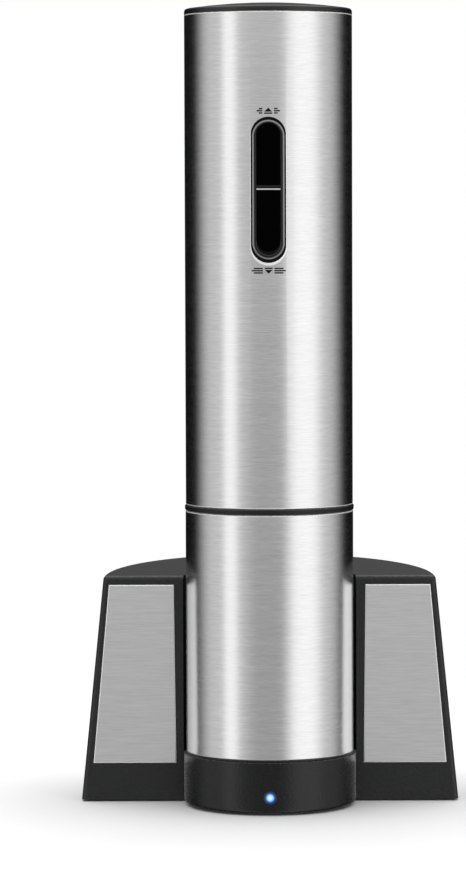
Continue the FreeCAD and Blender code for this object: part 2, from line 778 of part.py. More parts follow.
def top_cap():
    """The domed cap that plugs the tube: a shallow crown over a rounded rim, hollow below."""
    rim = "sleeve_top + cap_rim + cap_round"
    crown = [(share, f"{rim} + (overall_height - ({rim})) * {1 - share * share:.4f}") for share in (0.8, 0.6, 0.4, 0.2)]
    corner = [(1 - math.cos(math.radians(a)), math.sin(math.radians(a))) for a in (30, 60)]
    profile = [
        ("0", "overall_height - cap_wall"),
        ("0", "overall_height"),
        *[(f"{share} * (tube_radius - cap_round)", up) for share, up in reversed(crown)],
        ("tube_radius - cap_round", rim),
        *[
            (f"tube_radius - cap_round * {back:.4f}", f"sleeve_top + cap_rim + cap_round * {up:.4f}")
            for back, up in reversed(corner)
        ],
        ("tube_radius", "sleeve_top + cap_rim"),
        ("tube_radius", "sleeve_top"),
        ("sleeve_bore - fit_gap", "sleeve_top"),
        ("sleeve_bore - fit_gap", "sleeve_top - cap_plug"),
        ("sleeve_bore - fit_gap - cap_wall", "sleeve_top - cap_plug"),
        ("sleeve_bore - fit_gap - cap_wall", "sleeve_top + 0.2"),
    ]
    return turned("top_cap", profile)


# ---------------------------------------------------------------- neck guide and cork chamber


def neck_guide():
    """The moulding inside the skirt: the bottle's neck enters below its stop and the cork rises above it."""
    spool = turned(
        "guide_spool",
        [
            ("bottle_bore", "nozzle_bottom + lead_in"),
            ("bottle_bore + lead_in", "nozzle_bottom"),
            ("nozzle_radius", "nozzle_bottom"),
            ("nozzle_radius", "skirt_bottom - nozzle_flange"),
            ("skirt_radius - 0.1", "skirt_bottom - nozzle_flange"),
            ("skirt_radius - 0.1", "skirt_bottom"),
            ("guide_radius", "skirt_bottom"),
            ("guide_radius", "skirt_bottom + guide_foot"),
            ("bottle_bore + guide_wall", "skirt_bottom + guide_foot"),
            ("bottle_bore + guide_wall", "chamber_floor"),
            ("guide_shell", "chamber_floor + 2"),
            ("guide_shell", "guide_top - guide_head"),
            ("guide_radius", "guide_top - guide_head"),
            ("guide_radius", "guide_top"),
            ("chamber_radius", "guide_top"),
            ("chamber_radius", "chamber_floor"),
            ("stop_radius", "chamber_floor"),
            ("stop_radius", "bottle_stop"),
            ("bottle_bore", "bottle_stop"),
        ],
    )
    ribs = []
    for i in range(6):
        rib = doc.addObject("Part::Box", f"guide_rib_{i}")
        rib.setExpression("Length", formula("guide_radius - guide_shell + 0.5"))
        rib.Width = 1.6
        rib.setExpression("Height", formula("guide_top - guide_head - skirt_bottom - guide_foot + 1"))
        angle = 60 * i + 30
        rib.Placement = FreeCAD.Placement(V(0, 0, 0), FreeCAD.Rotation(V(0, 0, 1), angle))
        reach = "(guide_shell - 0.7)"
        rib.setExpression("Placement.Base.x", formula(f"{reach} * cos({angle}) + 0.8 * sin({angle})"))
        rib.setExpression("Placement.Base.y", formula(f"{reach} * sin({angle}) - 0.8 * cos({angle})"))
        rib.setExpression("Placement.Base.z", formula("skirt_bottom + guide_foot - 0.5"))
        ribs.append(rib)
    grooves = [contact_ring(f"groove_{i}", middle, "0.05") for i, middle in enumerate(stud_places)]
    wire_way = rod("guide_wire_way", "1.6", "skirt_length + 20", "0", "21.5", "nozzle_bottom + 0.5")
    return cut("neck_guide", fuse("guide_ribbed", spool, *ribs), *grooves, wire_way)


def contact_ring(name, middle, grow="0"):
    """A flat brass ring in the nozzle's underside, centred on the stud that it meets."""
    outer = rod(name + "_outer", f"{middle} + 0.8 + {grow}", "0.5", z="nozzle_bottom")
    inner = rod(name + "_inner", f"{middle} - 0.8 - {grow}", "0.5", z="nozzle_bottom")
    return cut(name, outer, inner)


def cork_clamp():
    """The sliding cup that grips the cork with fins and lets the worm through its roof."""
    cup = turned(
        "clamp_cup",
        [
            ("clamp_radius - clamp_wall", "clamp_bottom"),
            ("clamp_radius", "clamp_bottom"),
            ("clamp_radius", "clamp_top"),
            ("worm_outer + 0.8", "clamp_top"),
            ("worm_outer + 0.8", "clamp_top - 2"),
            ("clamp_radius - clamp_wall", "clamp_top - 2"),
        ],
    )
    fins = []
    for i in range(6):
        fin = doc.addObject("Part::Box", f"clamp_fin_{i}")
        fin.setExpression("Length", formula("fin_height + 0.4"))
        fin.Width = 1.0
        fin.setExpression("Height", formula("clamp_height - 4"))
        angle = 60 * i
        fin.Placement = FreeCAD.Placement(V(0, 0, 0), FreeCAD.Rotation(V(0, 0, 1), angle))
        reach = "(clamp_radius - clamp_wall - fin_height)"
        fin.setExpression("Placement.Base.x", formula(f"{reach} * cos({angle}) + 0.5 * sin({angle})"))
        fin.setExpression("Placement.Base.y", formula(f"{reach} * sin({angle}) - 0.5 * cos({angle})"))
        fin.setExpression("Placement.Base.z", formula("clamp_bottom + 3"))
        fins.append(fin)
    return fuse("cork_clamp", cup, *fins)


def helix(name, radius, wire, pitch, height, z):
    """A round wire wound up Z as a constant helix."""
    body = doc.addObject("PartDesign::Body", name)
    sketch = body.newObject("Sketcher::SketchObject", name + "_section")
    plane = [f for f in body.Origin.OriginFeatures if f.Role == "XZ_Plane"][0]
    sketch.AttachmentSupport = [(plane, "")]
    sketch.MapMode = "FlatFace"
    circle = Part.Circle(V(value(radius), 0, 0), V(0, 0, 1), value(wire))
    sketch.addGeometry(circle, False)
    sketch.addConstraint(Sketcher.Constraint("PointOnObject", 0, 3, -1))
    datum = sketch.addConstraint(Sketcher.Constraint("DistanceX", -1, 1, 0, 3, value(radius)))
    sketch.setExpression(f"Constraints[{datum}]", formula(radius))
    datum = sketch.addConstraint(Sketcher.Constraint("Radius", 0, value(wire)))
    sketch.setExpression(f"Constraints[{datum}]", formula(wire))
    winding = body.newObject("PartDesign::AdditiveHelix", name + "_winding")
    winding.Profile = sketch
    winding.ReferenceAxis = (sketch, ["V_Axis"])
    winding.Mode = 0
    winding.setExpression("Pitch", formula(pitch))
    winding.setExpression("Height", formula(height))
    return put(body, "0", "0", z)


def worm():
    length = "chuck_bottom + 4.5 - worm_tip - worm_wire * 2"
    return helix("worm", "worm_radius", "worm_wire", "worm_pitch", length, "worm_tip + worm_wire")


def clamp_spring():
    """The spring that pushes the clamp, and a drawn cork, back down."""
    span = "guide_top - clamp_top"
    return helix("clamp_spring", "10.6", "0.55", f"({span} - 1.4) / 6", f"{span} - 1.4", "clamp_top + 0.7")


# ---------------------------------------------------------------- gearbox and motor


def worm_chuck():
    """The steel cup on the gearbox shaft that holds the worm's upper turns."""
    cup = turned(
        "chuck_cup",
        [
            ("worm_outer + running_gap", "chuck_bottom"),
            ("chuck_radius - 0.5", "chuck_bottom"),
            ("chuck_radius", "chuck_bottom + 0.5"),
            ("chuck_radius", "guide_top - 0.6"),
            ("shaft_radius + 0.02", "guide_top - 0.6"),
            ("shaft_radius + 0.02", "chuck_bottom + 5"),
            ("worm_outer + running_gap", "chuck_bottom + 5"),
        ],
    )
    return cut("worm_chuck", cup, pin_hole("chuck_pin_hole"))


def chuck_pin():
    """The cross pin that locks the chuck on the shaft."""
    return rod("chuck_pin", "0.9", "chuck_radius - 1", "0.5", "0", "chuck_bottom + 6.4", "right")


def pin_hole(name):
    return rod(name, "0.9", "chuck_radius", "0.5", "0", "chuck_bottom + 6.4", "right")


def output_carrier():
    """The second stage's planet carrier, one piece with the output shaft that turns the worm."""
    disc = rod("output_disc", "carrier_radius", "carrier_wall", z="carrier_bottom")
    shaft = rod("output_shaft", "shaft_radius", "carrier_bottom - chuck_bottom - 5.1", z="chuck_bottom + 5.1")
    pins = carrier_pins("output_pin", "carrier_bottom + carrier_wall")
    return cut("output_carrier", fuse("output_blank", disc, shaft, *pins), pin_hole("shaft_pin_hole"))


def first_carrier():
    disc = rod("first_disc", "carrier_radius", "carrier_wall", z="first_carrier_bottom")
    pins = carrier_pins("first_pin", "first_carrier_bottom + carrier_wall")
    return fuse("first_carrier", disc, *pins)


def carrier_pins(name, z):
    length = "gear_width + loose_gap"
    pins = []
    for i in range(3):
        x, y = f"gear_orbit * cos({120 * i})", f"gear_orbit * sin({120 * i})"
        pins.append(rod(f"{name}_{i}", "planet_pin", length, x, y, z))
    return pins


def planets(stage, bottom):
    """Three planets that mesh with the sun and the ring; each has a gap facing outwards."""
    teeth = int(value("planet_teeth"))
    reach = value("gear_orbit")
    found = []
    for i in range(3):
        turn = math.radians(120 * i)
        shape = spur(teeth, turn + math.pi / teeth, value("planet_pin + running_gap"), value("gear_width"))
        x, y = reach * math.cos(turn), reach * math.sin(turn)
        found.append(solid(f"{stage}_planet_{i + 1}", shape, x, y, value(bottom)))
    return found


def first_sun():
    """The pinion pressed on the motor's shaft."""
    shape = spur(int(value("sun_teeth")), 0.0, value("motor_shaft"), value("gear_width"))
    return solid("first_sun", shape, z=value("first_gear_bottom"))


def second_sun():
    """The pinion under the first carrier, with the spigot that joins them."""
    shape = spur(int(value("sun_teeth")), 0.0, 0.9, value("gear_width + loose_gap"))
    return solid("second_sun", shape, z=value("first_carrier_bottom - gear_width - loose_gap"))


def ring_gear():
    """The gearbox's outer ring, whose teeth run through both stages."""
    teeth = int(value("sun_teeth + 2 * planet_teeth"))
    height = value("gearbox_top - cover_top")
    shape = ring(teeth, math.pi / teeth, value("gearbox_radius"), height)
    for angle in ear_angles:
        middle = on_circle(value("ear_reach"), math.radians(angle))
        hole = Part.makeCylinder(value("screw_radius * 0.8"), height, middle)
        shape = shape.cut(hole)
    return solid("ring_gear", shape, z=value("cover_top"))


ear_angles = (45, 135, 225, 315)


def ear_place(angle):
    return f"ear_reach * cos({angle})", f"ear_reach * sin({angle})"


def gearbox_cover():
    disc = rod("cover_disc", "gearbox_radius", "gearbox_cover", z="guide_top")
    hub = rod("cover_hub", "bush_radius + 1.8", "gearbox_cover + 1.4", z="guide_top")
    bore = rod("cover_bore", "bush_radius", "20", z="guide_top - 1")
    holes = []
    for i, angle in enumerate(ear_angles):
        x, y = ear_place(angle)
        holes.append(rod(f"cover_hole_{i}", "screw_radius * 0.8", "9", x, y, "guide_top - 1"))
    return cut("gearbox_cover", fuse("cover_blank", disc, hub), bore, *holes)


def output_bush():
    return turned(
        "output_bush",
        [
            ("shaft_radius + running_gap", "guide_top - 0.4"),
            ("bush_radius", "guide_top - 0.4"),
            ("bush_radius", "cover_top + 1.4"),
            ("shaft_radius + running_gap", "cover_top + 1.4"),
        ],
    )


def gearbox_screws():
    """Four long screws that hold the cover, the ring and the motor mount together."""
    parts = []
    for i, angle in enumerate(ear_angles):
        x, y = ear_place(angle)
        top = "motor_bottom - 1.5"
        length = f"{top} - guide_top - 0.4"
        parts.append(screw(f"gearbox_screw_{i}", x, y, top, length, "down", "screw_radius * 0.8", "screw_radius * 1.4"))
    return group("gearbox_screws", *parts)


def motor_mount():
    disc = rod("mount_disc", "gearbox_radius", "mount_wall", z="gearbox_top")
    holes = [rod("mount_bore", "4.95", "9", z="gearbox_top - 1")]
    for i, angle in enumerate(ear_angles):
        x, y = ear_place(angle)
        holes.append(rod(f"mount_hole_{i}", "screw_radius * 0.8", "9", x, y, "gearbox_top - 1"))
        holes.append(rod(f"mount_sink_{i}", "screw_radius * 1.4 + fit_gap", "9", x, y, "motor_bottom - 1.5"))
    return cut("motor_mount", disc, *holes)


def motor_can():
    """The drawn steel can, with the boss that centres it in the mount."""
    return turned(
        "motor_can",
        [
            ("motor_shaft + 0.6", "gearbox_top + 0.2"),
            ("4.9", "gearbox_top + 0.2"),
            ("4.9", "motor_bottom"),
            ("motor_radius - 1", "motor_bottom"),
            ("motor_radius", "motor_bottom + 1"),
            ("motor_radius", "motor_top - 3"),
            ("motor_radius - motor_wall", "motor_top - 3"),
            ("motor_radius - motor_wall", "motor_bottom + 1.8"),
            ("motor_shaft + 0.6", "motor_bottom + 1.8"),
        ],
    )


def motor_end_cap():
    return turned(
        "motor_end_cap",
        [
            ("motor_shaft + running_gap", "motor_top - 4"),
            ("motor_radius - motor_wall - fit_gap", "motor_top - 4"),
            ("motor_radius - motor_wall - fit_gap", "motor_top - 3"),
            ("motor_radius", "motor_top - 3"),
            ("motor_radius", "motor_top - 1.2"),
            ("motor_radius - 1.2", "motor_top"),
            ("4.5", "motor_top"),
            ("4.5", "motor_top + 1.6"),
            ("motor_shaft + running_gap", "motor_top + 1.6"),
        ],
    )


def motor_magnets():
    tube = turned(
        "magnet_tube",
        [
            ("armature_radius + 0.6", "motor_bottom + 6"),
            ("motor_radius - motor_wall", "motor_bottom + 6"),
            ("motor_radius - motor_wall", "motor_top - 9"),
            ("armature_radius + 0.6", "motor_top - 9"),
        ],
    )
    gaps = block("magnet_gap", "60", "7", "motor_length", "0", "0", "motor_bottom")
    return cut("motor_magnets", tube, gaps)


def motor_shaft():
    length = "motor_top + 3 - first_gear_bottom"
    return rod("motor_shaft", "motor_shaft", length, z="first_gear_bottom")


def armature():
    """The motor's laminated core with its winding slots and commutator, pressed on the shaft."""
    core = rod("core", "armature_radius", "motor_length - 19", z="motor_bottom + 7")
    heads = rod("winding_heads", "armature_radius - 2.4", "motor_length - 14", z="motor_bottom + 4.5")
    commutator = rod("commutator", "3.4", "motor_length - 8", z="motor_bottom + 3")
    slots = []
    for i in range(3):
        angle = 120 * i + 60
        x, y = f"armature_radius * cos({angle})", f"armature_radius * sin({angle})"
        slots.append(rod(f"winding_slot_{i}", "1.6", "motor_length - 18", x, y, "motor_bottom + 6.5"))
    bore = rod("core_bore", "motor_shaft + 0.01", "motor_length", z="motor_bottom")
    return cut("armature", fuse("core_blank", core, heads, commutator), bore, *slots)


# ---------------------------------------------------------------- chassis, battery and controls


def chassis_half(name, front):
    """One half of the inner frame: a tube wall with shelves for the gearbox, the motor and the cells."""
    tube = turned(
        name + "_tube",
        [
            ("chassis_bore", "guide_top"),
            ("chassis_radius", "guide_top"),
            ("chassis_radius", "chassis_top"),
            ("chassis_bore", "chassis_top"),
        ],
    )
    shelves = [
        shelf(name + "_gear_shelf", "gearbox_radius + fit_gap", "cover_top + 2"),
        shelf(name + "_mount_shelf", "gearbox_radius + fit_gap", "gearbox_top - 3"),
        shelf(name + "_motor_shelf", "motor_radius + fit_gap", "motor_top - 10"),
        shelf(name + "_cell_shelf", "4", "shelf_bottom"),
        shelf(name + "_top_shelf", "9", "cell_bottom + cell_length + 1.5"),
    ]
    sign = -1 if front else 1
    side = "front" if front else "back"
    bosses = []
    holes = []
    for i, (x, z) in enumerate(chassis_screw_places()):
        bosses.append(rod(f"{name}_boss_{i}", "2.4", "8.5", x, "0", z, side))
        holes.append(rod(f"{name}_hole_{i}", "1.0", "8", x, "0", z, side))
        if not front:
            holes.append(rod(f"{name}_sink_{i}", "2.5", "20", x, "7", z, "back"))
    half = block(name + "_half", "80", "40", "chassis_top + 20", "0", f"{sign} * (20 + fit_gap / 4)", "0")
    whole = fuse(name + "_whole", tube, *shelves, *bosses)
    openings = list(holes)
    if front:
        way = "slot_width + 3.2"
        openings.append(slot_prism(name + "_slot", way, "slot_straight + 0.4", "30", "-board_way", "slot_middle"))
        openings.append(block(name + "_board_way", "27", "12", "68", "0", "-(control_board + 4.2)", "slot_middle - 33"))
    return cut(name, common(name + "_part", whole, half), *openings)


def chassis_screw_places():
    reach = "chassis_bore - 2.3"
    low, high = "cover_top + 11", "chassis_top - 8"
    return [(reach, low), (f"-({reach})", low), (reach, high), (f"-({reach})", high)]


def shelf(name, bore, z):
    outer = rod(name + "_outer", "chassis_bore + 0.5", "shelf_wall", z=z)
    return cut(name, outer, rod(name + "_bore", bore, "40", z=f"{z} - 10"))


def chassis_screws():
    parts = []
    for i, (x, z) in enumerate(chassis_screw_places()):
        parts.append(screw(f"chassis_screw_{i}", x, "7", z, "13", "front", "1.0", "2.1"))
    return group("chassis_screws", *parts)


def cell_places():
    low, high = "-2.6", "-2.6 + cell_radius * 2 + 0.2"
    reach = "cell_radius + 0.1"
    return [(reach, low), (f"-({reach})", low), (reach, high), (f"-({reach})", high)]


def battery_cells():
    parts = []
    for i, (x, y) in enumerate(cell_places()):
        can = rod(f"cell_can_{i}", "cell_radius", "cell_length - 1", x, y, "cell_bottom")
        tip = rod(f"cell_tip_{i}", "2.6", "cell_length", x, y, "cell_bottom")
        parts.append(fuse(f"cell_{i}", can, tip))
    return group("battery_cells", *parts)


def cell_links():
    """Nickel strips that join the cells in a row: two above and one below."""
    top, low = "cell_bottom + cell_length", "cell_bottom - 0.2"
    (xa, ya), (xb, yb), _, (xd, yd) = cell_places()
    length = "cell_radius * 2 + 5"
    middle = f"({ya} + {yd}) / 2"
    parts = [
        block("link_right", "4", length, "0.2", xa, middle, top),
        block("link_left", "4", length, "0.2", xb, middle, top),
        block("link_low", length, "4", "0.2", "0", yd, low),
    ]
    return group("cell_links", *parts)


def control_board():
    slab = block("control_slab", "25", "1.6", "64", "0", "-control_board + 0.8", "slot_middle - 32")
    return cut("control_board", slab, *[
        rod(f"control_hole_{i}", "1.2", "6", x, "-control_board + 3", f"slot_middle + {z}", "front")
        for i, (x, z) in enumerate((("10.5", "-29"), ("-10.5", "-29"), ("10.5", "29"), ("-10.5", "29")))
    ])


def power_parts():
    """The relay, the two power transistors and the buffer capacitor on the lower end of the board."""
    y = "-control_board"
    relay = block("relay", "10", "5.4", "8.4", "-5.5", f"{y} - 2.7", "slot_middle - 31.5")
    can = rod("capacitor", "2.5", "5", "4", y, "slot_middle - 27", "front")
    chips = [block(f"driver_{i}", "5", "1.4", "4.2", x, f"{y} - 0.7", "slot_middle + 27") for i, x in enumerate(("-4", "4"))]
    return group("power_parts", relay, can, *chips)


def button_middle(upper):
    half = "(bezel_straight + bezel_width) / 4"
    return f"bezel_middle {'+' if upper else '-'} {half}"


def switch_bodies():
    parts = []
    for i, upper in enumerate((True, False)):
        z = button_middle(upper)
        body = block(f"switch_case_{i}", "6", "3.4", "6", "0", "-control_board - 1.7", f"{z} - 3")
        well = rod(f"switch_well_{i}", "1.85", "2.6", "0", "-control_board - 1.2", z, "front")
        parts.append(cut(f"switch_{i}", body, well))
    return group("switch_bodies", *parts)


def plunger(name, upper):
    """The round key of a tact switch, which its button pushes in."""
    start = "-control_board - 1.2 - button_travel - 0.2"
    length = "button_back - control_board - 1.2 - button_travel - 0.2"
    return rod(name, "1.75", length, "0", start, button_middle(upper), "front")


def bezel():
    """The gloss frame round the buttons, curved with the tube, with a flange behind the sleeve."""
    low = rod("bezel_low", "tube_radius - 2.6", "slot_height + 20", z="slot_middle - slot_height / 2 - 10")
    face = rod("bezel_face", "tube_radius + bezel_proud", "slot_height + 20", z="slot_middle - slot_height / 2 - 10")
    skin = rod("bezel_skin", "sleeve_bore - 0.05", "slot_height + 20", z="slot_middle - slot_height / 2 - 10")
    outer = slot_prism("bezel_outer", "bezel_width", "bezel_straight", "30", "-10", "bezel_middle")
    wide = slot_prism("bezel_wide", "slot_width + 2.4", "slot_straight + 0.2", "30", "-10", "slot_middle")
    inner_width = "bezel_width - bezel_frame * 2"
    inner = slot_prism("bezel_inner", inner_width, "bezel_straight", "40", "-5", "bezel_middle")
    face_part = common("bezel_face_part", face, outer)
    flange_part = common("bezel_flange_part", skin, wide)
    both = fuse("bezel_both", face_part, flange_part)
    return cut("button_bezel", both, low, inner)


def button(name, upper):
    """One gloss key: half a slot shape, curved with the tube, with a stem towards its switch."""
    crown = rod(name + "_crown", "tube_radius + bezel_proud + button_proud", "slot_height", z="slot_middle - slot_height / 2")
    shape = slot_prism(name + "_slot", "button_width", "bezel_straight", "20", "-button_back", "bezel_middle")
    way = "button_split / 2" if upper else f"-(button_split / 2) - 60"
    keep = block(name + "_keep", "40", "80", "60", "0", "-20", f"bezel_middle + {way}")
    lip = slot_prism(name + "_lip", "button_width + 2", "bezel_straight", "1.2", "-button_back", "bezel_middle")
    key = common(name + "_key", crown, fuse(name + "_stem", shape, lip), keep)
    edge = value("tube_radius")

    def front_edge(e):
        return e.BoundBox.YMax < -edge + 1.2 and e.BoundBox.YMin < -edge

    doc.recompute()
    return rounded(name, key, "0.35", front_edge)


# ---------------------------------------------------------------- leads


def motor_leads():
    """Two leads from the motor's end cap to the back of the control board."""
    radius, start, end = value("lead_radius"), value("motor_top"), value("shelf_bottom - 0.5")
    board = value("1.65 - control_board + lead_radius")
    parts = []
    for x in (-9.0, 9.0):
        points = [
            (x, 0, start + 0.05),
            (x, 0, start + 2.6),
            (x, board, start + 2.6),
            (x, board, end),
        ]
        parts.append(lead(points, radius))
    return solid("motor_leads", Part.makeCompound(parts))


def build():
    """Makes every sub-part. A number after a sub-part is how many separate solids it holds."""
    node(base_shell())
    node(base_collar())
    node(base_plate())
    node(base_screws(), solids=len(boss_places))
    node(rubber_feet(), solids=1 + len(foot_places))
    node(trim_panel("right_panel", 1))
    node(trim_panel("left_panel", -1))
    node(charge_board())
    node(charge_studs(), solids=len(stud_places))
    node(status_led())
    node(led_lens())
    node(jack_body())
    node(jack_pin())
    node(skirt_sleeve())
    node(seam_ring())
    node(upper_sleeve())
    node(top_cap())
    node(neck_guide())
    node(group("contact_rings", *[contact_ring(f"ring_{i}", y) for i, y in enumerate(stud_places)]), solids=2)
    node(cork_clamp())
    node(clamp_spring())
    node(worm())
    node(worm_chuck())
    node(chuck_pin())
    node(output_carrier())
    node(output_bush())
    node(gearbox_cover())
    node(ring_gear())
    node(gearbox_screws(), solids=len(ear_angles))
    for planet in planets("output", "second_gear_bottom"):
        node(planet)
    node(second_sun())
    node(first_carrier())
    for planet in planets("first", "first_gear_bottom"):
        node(planet)
    node(first_sun())
    node(motor_mount())
    node(motor_can())
    node(motor_magnets(), solids=2)
    node(motor_end_cap())
    node(motor_shaft())
    node(armature())
    node(motor_leads(), solids=2)
    node(chassis_half("chassis_front", True))
    node(chassis_half("chassis_rear", False))
    node(chassis_screws(), solids=4)
    node(battery_cells(), solids=4)
    node(cell_links(), solids=3)
    node(control_board())
    node(power_parts(), solids=4)
    node(switch_bodies(), solids=2)
    node(bezel())
    for name, upper in (("upper", True), ("lower", False)):
        node(button(name + "_button", upper))
        node(plunger(name + "_plunger", upper))


def check():
    """Stops when an object failed to build, or a sub-part has the wrong number of solids."""
    failed = [obj.Name for obj in doc.Objects if "Invalid" in obj.State or "Error" in obj.State]
    if failed:
        raise RuntimeError("these objects failed: " + ", ".join(failed))
    for obj, count in nodes:
        shape = obj.Shape
        if shape.isNull() or not shape.isValid():
            raise RuntimeError(obj.Label + " has no valid shape")
        if len(shape.Solids) != count:
            raise RuntimeError(f"{obj.Label} has {len(shape.Solids)} solids and should have {count}")


def write():
    os.makedirs("parts", exist_ok=True)
    for obj, _ in nodes:
        obj.Shape.exportStep(f"parts/{obj.Label}.step")


fill_sheet()
build()
doc.recompute()
check()
write()
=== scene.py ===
import math

import bmesh
import bpy
from mathutils import Matrix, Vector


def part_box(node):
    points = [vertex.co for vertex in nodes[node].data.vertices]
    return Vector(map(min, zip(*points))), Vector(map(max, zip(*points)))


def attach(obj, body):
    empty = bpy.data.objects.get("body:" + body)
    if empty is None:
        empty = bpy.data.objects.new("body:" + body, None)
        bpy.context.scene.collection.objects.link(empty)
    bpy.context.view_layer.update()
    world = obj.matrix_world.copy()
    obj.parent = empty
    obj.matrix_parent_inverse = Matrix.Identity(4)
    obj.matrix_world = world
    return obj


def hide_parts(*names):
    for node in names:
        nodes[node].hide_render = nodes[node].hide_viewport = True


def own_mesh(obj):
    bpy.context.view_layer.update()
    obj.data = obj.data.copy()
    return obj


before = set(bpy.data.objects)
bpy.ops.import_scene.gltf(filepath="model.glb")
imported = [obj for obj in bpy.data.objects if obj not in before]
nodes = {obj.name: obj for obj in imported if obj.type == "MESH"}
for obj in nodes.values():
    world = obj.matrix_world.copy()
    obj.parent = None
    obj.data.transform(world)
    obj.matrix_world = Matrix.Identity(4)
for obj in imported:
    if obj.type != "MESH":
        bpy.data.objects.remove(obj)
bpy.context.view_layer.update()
print("frame loaded:", len(nodes), "nodes")


# ---- node tree helpers

def addNode(tree, kind, **inputs):
    node = tree.nodes.new(kind)
    for name, value in inputs.items():
        socket = node.inputs[int(name[1:])] if name[0] == "i" and name[1:].isdigit() else node.inputs[name]
        if isinstance(value, bpy.types.NodeSocket):
            tree.links.new(value, socket)
        else:
            socket.default_value = value
    return node


def mathNode(tree, operation, a, b=0.0):
    node = tree.nodes.new("ShaderNodeMath")
    node.operation = operation
    for i, value in enumerate((a, b)):
        if isinstance(value, bpy.types.NodeSocket):
            tree.links.new(value, node.inputs[i])
        else:
            node.inputs[i].default_value = value
    return node.outputs[0]


def ramp(tree, fac, stops, interpolation="LINEAR"):
    node = tree.nodes.new("ShaderNodeValToRGB")
    node.color_ramp.interpolation = interpolation
    while len(node.color_ramp.elements) < len(stops):
        node.color_ramp.elements.new(0.5)
    for element, (place, tone) in zip(node.color_ramp.elements, stops):
        element.position = place
        element.color = (*tone, 1) if isinstance(tone, tuple) else (tone, tone, tone, 1)
    tree.links.new(fac, node.inputs[0])
    return node.outputs[0]


def mixTones(tree, fac, low, high):
    node = tree.nodes.new("ShaderNodeMix")
    node.data_type = "RGBA"
    tree.links.new(fac, node.inputs[0])
    for socket, value in ((node.inputs[6], low), (node.inputs[7], high)):
        if isinstance(value, bpy.types.NodeSocket):
            tree.links.new(value, socket)
        else:
            socket.default_value = (value, value, value, 1)
    return node.outputs[2]


def newMaterial(name, color, roughness, metallic=0.0, **more):
    mat = bpy.data.materials.new(name)
    mat.use_nodes = True
    shader = mat.node_tree.nodes["Principled BSDF"]
    shader.inputs["Base Color"].default_value = (*color, 1)
    shader.inputs["Roughness"].default_value = roughness
    shader.inputs["Metallic"].default_value = metallic
    for name, value in more.items():
        shader.inputs[name.replace("_", " ")].default_value = value
    return mat, mat.node_tree, shader


def objectNoise(tree, scale, stretch=(1, 1, 1), detail=3.0, roughness=0.5):
    place = tree.nodes.new("ShaderNodeTexCoord")
    mapping = addNode(tree, "ShaderNodeMapping", Vector=place.outputs["Object"], Scale=stretch)
    noise = addNode(tree, "ShaderNodeTexNoise", Vector=mapping.outputs[0], Scale=scale)
    noise.inputs["Detail"].default_value = detail
    noise.inputs["Roughness"].default_value = roughness
    return noise.outputs[0]


def addBump(tree, shader, height, strength, distance):
    bump = addNode(tree, "ShaderNodeBump", Height=height, Strength=strength, Distance=distance)
    tree.links.new(bump.outputs[0], shader.inputs["Normal"])


def varyColor(tree, shader, fac, low, high):
    tree.links.new(ramp(tree, fac, [(0.3, low), (0.7, high)]), shader.inputs["Base Color"])


def varyRoughness(tree, shader, fac, low, high):
    span = addNode(tree, "ShaderNodeMapRange", i0=fac, i1=0.3, i2=0.7, i3=low, i4=high)
    tree.links.new(span.outputs[0], shader.inputs["Roughness"])


# ---- finishes

def objectPlace(tree):
    place = tree.nodes.new("ShaderNodeTexCoord")
    return addNode(tree, "ShaderNodeSeparateXYZ", i0=place.outputs["Object"]).outputs


def levelBand(tree, height, middle, reach):
    # 1 within reach of a height, 0 elsewhere
    away = mathNode(tree, "ABSOLUTE", mathNode(tree, "SUBTRACT", height, middle))
    return mathNode(tree, "LESS_THAN", away, reach)


def flatDistance(tree, across, up):
    squares = mathNode(tree, "ADD", mathNode(tree, "POWER", up, 2.0), mathNode(tree, "POWER", across, 2.0))
    return mathNode(tree, "SQRT", squares)


def slotDistance(tree, place, middle, straight, radius):
    # how far a point on the front lies outside an upright round-ended outline, in metres
    away = mathNode(tree, "ABSOLUTE", mathNode(tree, "SUBTRACT", place["Z"], middle))
    over = mathNode(tree, "MAXIMUM", mathNode(tree, "SUBTRACT", away, straight / 2), 0.0)
    return mathNode(tree, "SUBTRACT", flatDistance(tree, place["X"], over), radius)


# how far the painted highlight line runs out round the slot, in metres
slotHighlightReach = 0.00018


def brushedSteel(name, tone=0.72, roughness=0.22, streak=0.09, highlightEdges=(), highlightOutline=None):
    # fine scratches that run level, short and slightly wavy; the cut edges and a thin line round the slot
    # carry a painted highlight
    mat, tree, shader = newMaterial(name, (tone, tone, tone * 0.99), roughness, 1.0)
    fine = objectNoise(tree, 1.0, (260, 260, 3000), 4.0, 0.65)
    broad = objectNoise(tree, 1.0, (60, 60, 900), 3.0, 0.55)
    finePart = mathNode(tree, "MULTIPLY", fine, 0.7)
    both = mathNode(tree, "ADD", finePart, mathNode(tree, "MULTIPLY", broad, 0.3))
    smooth, coarse = roughness * 0.85, roughness * 1.2
    color = ramp(tree, both, [(0.3, tone * 0.91), (0.7, min(1.0, tone * 1.09))])
    rough = addNode(tree, "ShaderNodeMapRange", i0=both, i1=0.3, i2=0.7, i3=smooth, i4=coarse).outputs[0]
    place = objectPlace(tree)
    # painted highlight: bands at the given heights and a thin line round the slot turn white and rough
    highlightMask = None
    for middle, reach in highlightEdges:
        highlightBand = levelBand(tree, place["Z"], middle, reach)
        highlightMask = highlightBand if highlightMask is None else mathNode(tree, "MAXIMUM", highlightMask, highlightBand)
    if highlightOutline:
        near = mathNode(tree, "LESS_THAN", slotDistance(tree, place, *highlightOutline), slotHighlightReach)
        front = mathNode(tree, "LESS_THAN", place["Y"], 0.0)
        highlightMask = mathNode(tree, "MAXIMUM", highlightMask, mathNode(tree, "MULTIPLY", near, front))
    if highlightMask is not None:
        color = mixTones(tree, highlightMask, color, 1.0)
        rough = addNode(tree, "ShaderNodeMapRange", i0=highlightMask, i1=0.0, i2=1.0, i3=rough, i4=0.6).outputs[0]
    tree.links.new(color, shader.inputs["Base Color"])
    tree.links.new(rough, shader.inputs["Roughness"])
    addBump(tree, shader, both, streak, 0.0002)
    return mat


